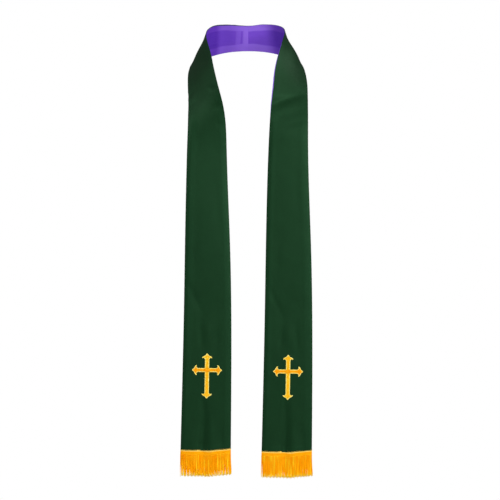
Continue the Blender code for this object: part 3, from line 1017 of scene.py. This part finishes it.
class Shade(Tree):
    """Node material under construction."""

    def __init__(self, name):
        self.material = bpy.data.materials.new(name)
        super().__init__(self.material)
        self.shader = self.nodes["Principled BSDF"]

    def layer(self, name):
        """UV layer as a vector."""
        return self.make("ShaderNodeUVMap", uv_map=name).outputs[0]

    def parts(self, name):
        """The two values of a UV layer."""
        first, second, _ = self.make("ShaderNodeSeparateXYZ", {0: self.layer(name)}).outputs
        return first, second

    def stretched(self, vector, stretch):
        """Vector stretched by a factor each way."""
        return self.make("ShaderNodeMapping", {"Vector": vector, "Scale": stretch}).outputs[0]

    def weave(self, across, along):
        """Place on the cloth in metres, stretched by a factor each way."""
        return self.stretched(self.layer("weave"), (across, along, 1.0))

    def bands(self, vector, scale, distortion, detail=1.0, direction="DIAGONAL"):
        """Wave bands at a vector."""
        inputs = {"Vector": vector, "Scale": scale, "Distortion": distortion, "Detail": detail}
        settings = {"wave_type": "BANDS", "bands_direction": direction}
        return self.make("ShaderNodeTexWave", inputs, **settings).outputs["Fac"]

    def noise(self, vector, detail, rough=0.5, scale=1.0):
        """Noise value at a vector."""
        inputs = {"Vector": vector, "Scale": scale, "Detail": detail, "Roughness": rough}
        return self.make("ShaderNodeTexNoise", inputs).outputs["Fac"]

    def times(self, value, share):
        """Value multiplied by a share."""
        return self.make("ShaderNodeMath", {0: value, 1: share}, operation="MULTIPLY").outputs[0]

    def span(self, value, low, high, to_low=0.0, to_high=1.0):
        """Value carried smoothly from one range to another."""
        inputs = {0: value, 1: low, 2: high, 3: to_low, 4: to_high}
        smooth = {"interpolation_type": "SMOOTHSTEP"}
        return self.make("ShaderNodeMapRange", inputs, **smooth).outputs[0]

    def blend(self, factor, first, second, mode="MIX"):
        """Mix of two colours."""
        inputs = {0: factor, 6: first, 7: second}
        return self.make("ShaderNodeMix", inputs, data_type="RGBA", blend_type=mode).outputs[2]

    def bump(self, height, distance, strength=1.0, normal=None):
        """Normal bent by a height."""
        inputs = {"Height": height, "Distance": distance, "Strength": strength}
        if normal is not None:
            inputs["Normal"] = normal
        return self.make("ShaderNodeBump", inputs).outputs[0]

    def set(self, **values):
        """Shader sockets by name, with underscores for spaces."""
        for key, value in values.items():
            self.feed(self.shader.inputs[key.replace("_", " ")], value)

    def set_gold(self, colour, roughness, normal):
        """Shader sockets of a soft gold thread."""
        self.set(
            Base_Color=colour,
            Roughness=roughness,
            Normal=normal,
            Sheen_Weight=0.04,
            Sheen_Roughness=0.4,
            Sheen_Tint=GOLD_TINT,
            Specular_IOR_Level=0.25,
            Specular_Tint=GOLD_TINT,
        )


Cloth = namedtuple("Cloth", "name base light dark allowance worn show roughness gloss sheen tint")

WEAVE_SCALE = 620.0
# Reach of the painted shade along the rolled edges
EDGE_SHADE_REACH = 2.2 * MM


def satin_material(cloth):
    """Satin: fine diagonal floats, slubs, soft clouding, the seam allowances showing through, and
    painted shade.
    """
    shade = Shade(cloth.name)
    diagonal = shade.bands(shade.layer("weave"), WEAVE_SCALE, 0.6)
    floats = shade.noise(shade.weave(2600.0, 420.0), 1.0)
    slubs = shade.noise(shade.weave(900.0, 26.0), 2.0)
    clouds = shade.noise(shade.weave(26.0, 15.0), 3.0, 0.6)
    mottle = shade.noise(shade.weave(90.0, 70.0), 3.0, 0.6)
    inward, allowance = shade.parts("seams")
    edge_shade = shade.span(inward, 0.0, EDGE_SHADE_REACH, 1.0, 0.0)

    colour = shade.blend(shade.span(clouds, 0.3, 0.7, 0.55, 1.0), cloth.dark, cloth.base)
    colour = shade.blend(shade.span(mottle, 0.45, 0.8, 0.0, 0.15), colour, cloth.light)
    colour = shade.blend(shade.times(allowance, cloth.show), colour, cloth.allowance)
    # Painted shade: the lining's band is darkened towards its ends by the neck corners
    if cloth.worn:
        worn, _ = shade.parts("wear")
        colour = shade.blend(shade.times(worn, 0.75), colour, cloth.worn, "MULTIPLY")
    colour = shade.blend(shade.times(slubs, 0.22), colour, cloth.light)
    # Painted shade: darker within a few millimetres of the rolled edges
    colour = shade.blend(shade.times(edge_shade, 0.35), colour, cloth.dark)

    crumple = shade.noise(shade.weave(64.0, 40.0), 3.0, 0.55)
    normal = shade.bump(crumple, 0.5 * MM, 0.3)
    normal = shade.bump(slubs, 0.05 * MM, 0.5, normal)
    normal = shade.bump(diagonal, 0.05 * MM, 0.45, normal)
    normal = shade.bump(floats, 0.03 * MM, 0.4, normal)
    roughness = shade.span(slubs, 0.2, 0.8, cloth.roughness - 0.05, cloth.roughness + 0.06)
    shade.set(
        Base_Color=colour,
        Roughness=roughness,
        Normal=normal,
        Sheen_Weight=cloth.sheen,
        Sheen_Roughness=0.45,
        Sheen_Tint=cloth.tint,
        Specular_IOR_Level=cloth.gloss,
        Specular_Tint=cloth.tint,
    )
    return shade.material


def thread_material(name, base, light, dark, twist, streak, roughness, painted_light_tips=False):
    """Twisted shiny thread: slanting plies, some threads paler, and painted light that pales the tips
    where asked.
    """
    shade = Shade(name)
    ply = shade.bands(shade.weave(1.0, twist), 0.314, 0.3)
    where = shade.make("ShaderNodeTexCoord").outputs["Object"]
    patches = shade.noise(shade.stretched(where, streak), 3.0, 0.6)
    wide = shade.noise(where, 2.0, scale=38.0)
    colour = shade.blend(shade.span(ply, 0.1, 0.9), dark, base)
    colour = shade.blend(shade.span(patches, 0.48, 0.68, 0.0, 0.9), colour, light)
    colour = shade.blend(shade.span(patches, 0.46, 0.30, 0.0, 0.8), colour, dark)
    colour = shade.blend(shade.span(wide, 0.35, 0.7, 0.0, 0.25), colour, dark)
    # Painted light: the strands pale towards their tips, as light shining through the parted thread ends
    if painted_light_tips:
        _, run = shade.parts("weave")
        colour = shade.blend(shade.span(run, TIP_START, TIP_END, 0.0, 0.85), colour, light)
    rough = shade.span(patches, 0.3, 0.7, roughness - 0.05, roughness + 0.05)
    shade.set_gold(colour, rough, shade.bump(ply, 0.10 * MM, 0.6))
    return shade.material


def braid_material(name, base, light, dark):
    """Fringe heading: fine upright wraps over the modelled cords, paler along its top."""
    shade = Shade(name)
    wraps = shade.bands(shade.layer("weave"), 480.0, 1.5, 2.0, "X")
    _, up = shade.parts("weave")
    top = shade.span(up, HEADING_HEIGHT - 2.2 * MM, HEADING_HEIGHT - 1.4 * MM)
    patches = shade.noise(shade.weave(320.0, 160.0), 3.0)
    colour = shade.blend(shade.span(wraps, 0.1, 0.9), dark, base)
    colour = shade.blend(shade.span(patches, 0.4, 0.75, 0.0, 0.6), colour, light)
    colour = shade.blend(shade.times(top, 0.85), colour, TOP_CORD)
    rough = shade.span(patches, 0.3, 0.7, 0.44, 0.54)
    shade.set_gold(colour, rough, shade.bump(wraps, 0.12 * MM, 0.6))
    return shade.material


def floor_material():
    """Pale matt studio floor."""
    shade = Shade("studio_floor")
    where = shade.make("ShaderNodeTexCoord").outputs["Object"]
    speckle = shade.noise(where, 4.0, scale=60.0)
    colour = shade.blend(speckle, linear(236, 236, 234), linear(243, 243, 241))
    shade.set(Base_Color=colour, Roughness=0.85)
    return shade.material


# Stage


def studio_floor():
    """Round pale floor, below the hanging stole and out of the front view."""
    turn = np.arange(FLOOR_STEPS) * 2.0 * math.pi / FLOOR_STEPS
    right = FLOOR_RADIUS * np.cos(turn)
    back = FLOOR_MIDDLE + FLOOR_RADIUS * np.sin(turn)
    points = np.column_stack([right, back, np.full(FLOOR_STEPS, FLOOR_HEIGHT)])
    faces = [list(range(FLOOR_STEPS))]
    item = mesh_object("studio_floor", points, faces, materials=[floor_material()])


def area_light(light):
    """Soft square light aimed at the middle of the stole."""
    data = bpy.data.lights.new(light.name, "AREA")
    data.shape = "SQUARE"
    data.size = light.size
    data.energy = light.power
    item = bpy.data.objects.new(light.name, data)
    item.location = light.place
    aim = Vector(LIGHT_TARGET) - Vector(light.place)
    item.rotation_euler = aim.to_track_quat("-Z", "Y").to_euler()
    bpy.context.scene.collection.objects.link(item)


def studio_world():
    """White surroundings, dimmer as a light than as a backdrop, and dimmest behind."""
    world = bpy.data.worlds.new("studio")
    bpy.context.scene.world = world
    sky = Tree(world)
    sky.nodes.clear()
    where = sky.make("ShaderNodeTexCoord").outputs["Generated"]
    back = sky.make("ShaderNodeSeparateXYZ", {0: where}).outputs[1]
    inputs = {0: back, 1: SKY_FRONT, 2: SKY_BACK, 3: SKY_FRONT_LIGHT, 4: SKY_BACK_LIGHT}
    fade = sky.make("ShaderNodeMapRange", inputs).outputs[0]
    soft = sky.make("ShaderNodeBackground", {"Color": WHITE, "Strength": fade})
    seen = sky.make("ShaderNodeBackground", {"Color": WHITE, "Strength": 1.0})
    camera_ray = sky.make("ShaderNodeLightPath").outputs["Is Camera Ray"]
    inputs = {0: camera_ray, 1: soft.outputs[0], 2: seen.outputs[0]}
    pick = sky.make("ShaderNodeMixShader", inputs)
    sky.make("ShaderNodeOutputWorld", {0: pick.outputs[0]})


def studio():
    """Floor, lights, surroundings and camera."""
    studio_floor()
    studio_world()
    for light in LIGHTS:
        area_light(light)
    camera_data = bpy.data.cameras.new("camera")
    camera_data.sensor_width = CAMERA_SENSOR
    camera_data.lens = CAMERA_SENSOR * CAMERA_DISTANCE / CAMERA_FRAME
    camera = bpy.data.objects.new("camera", camera_data)
    camera.location = CAMERA_PLACE
    camera.rotation_euler = (math.radians(90.0), 0.0, 0.0)
    bpy.context.scene.collection.objects.link(camera)
    bpy.context.scene.camera = camera
    bpy.context.scene.view_settings.view_transform = "Standard"


# The stole

GREEN = Cloth(
    "green_satin_weave",
    base=linear(10, 38, 17),
    light=linear(16, 50, 26),
    dark=linear(9, 34, 15),
    allowance=linear(12, 43, 22),
    worn=None,
    show=0.3,
    roughness=0.40,
    gloss=0.38,
    sheen=0.01,
    tint=linear(130, 205, 150),
)
PURPLE = Cloth(
    "purple_satin_weave",
    base=linear(122, 78, 208),
    light=linear(144, 101, 222),
    dark=linear(114, 69, 201),
    allowance=linear(154, 113, 230),
    # Painted shade: tint multiplied in towards the band's ends
    worn=(0.27, 0.10, 0.48, 1.0),
    show=0.85,
    roughness=0.42,
    gloss=0.13,
    sheen=0.02,
    tint=linear(200, 175, 255),
)

# Thread colours: base, light and dark
ARM_GOLD = (linear(255, 181, 20), linear(255, 200, 38), linear(252, 157, 6))
# Painted sheen: the upright's fill is the arms' thread painted paler and yellower
UPRIGHT_SHEEN_GOLD = (linear(255, 207, 42), linear(255, 222, 68), linear(252, 182, 18))
# Painted highlight: the border thread is painted paler than the fill
BORDER_HIGHLIGHT_GOLD = (linear(255, 243, 138), linear(255, 251, 184), linear(255, 229, 98))
STRAND_GOLD = (linear(255, 188, 5), linear(255, 220, 38), linear(255, 148, 1))
BRAID_GOLD = (linear(251, 167, 6), linear(255, 186, 20), linear(243, 146, 2))
TOP_CORD = linear(255, 210, 100)

# Twist of the threads, and how finely their paler and darker stretches vary each way
STITCH_TWIST = 2400.0
STRAND_TWIST = 900.0
STITCH_STREAK = (260.0, 260.0, 260.0)
STRAND_STREAK = (330.0, 330.0, 14.0)


def flat_cut(strip):
    """Width, length and area that one layer was cut to, without its seam allowances."""
    places = np.linspace(0.0, strip.length, 400)
    widths = strip.width(places)
    area = float(np.sum(0.5 * (widths[1:] + widths[:-1]) * np.diff(places)))
    return float(widths.max()), float(strip.length), area


def build_half(half, materials):
    """All pieces of one half, riding on the stole's one body."""
    strip = Strip(half)
    green, purple, fills, border, braid, thread = materials
    name = half.name
    shell = cloth_layer("shell", strip, green)
    lining = cloth_layer("lining", strip, purple)
    stitches, rim = embroidered_cross(strip, fills, border)
    tassels = fringe(strip, braid, thread)
    pieces = [
        (shell, "green_satin"),
        (lining, "purple_satin"),
        (stitches, "gold_thread"),
        (rim, "gold_thread"),
        (tassels, "gold_fringe"),
    ]
    for piece, slot in pieces:
        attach(piece, "root")
    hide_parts(f"shell_{name}")
    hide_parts(f"lining_{name}")
    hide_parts(f"cross_{name}")
    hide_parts(f"fringe_{name}")
    width, length, area = flat_cut(strip)


def build_stole():
    """Both halves, with their shared materials."""
    # The arms and the upright share one thread; the upright's paler copy is painted sheen
    fills = [
        thread_material("gold_fill_arms", *ARM_GOLD, STITCH_TWIST, STITCH_STREAK, 0.42),
        thread_material("gold_fill_upright_painted_sheen", *UPRIGHT_SHEEN_GOLD, STITCH_TWIST, STITCH_STREAK, 0.42),
    ]
    # Painted highlight on the cross's raised border
    border = thread_material("gold_border_painted_highlight", *BORDER_HIGHLIGHT_GOLD, STITCH_TWIST, STITCH_STREAK, 0.40)
    strand = thread_material("gold_strand", *STRAND_GOLD, STRAND_TWIST, STRAND_STREAK, 0.45, True)
    braid = braid_material("gold_braid", *BRAID_GOLD)
    materials = (satin_material(GREEN), satin_material(PURPLE), fills, border, braid, strand)
    for half in HALVES:
        build_half(half, materials)


build_stole()
studio()
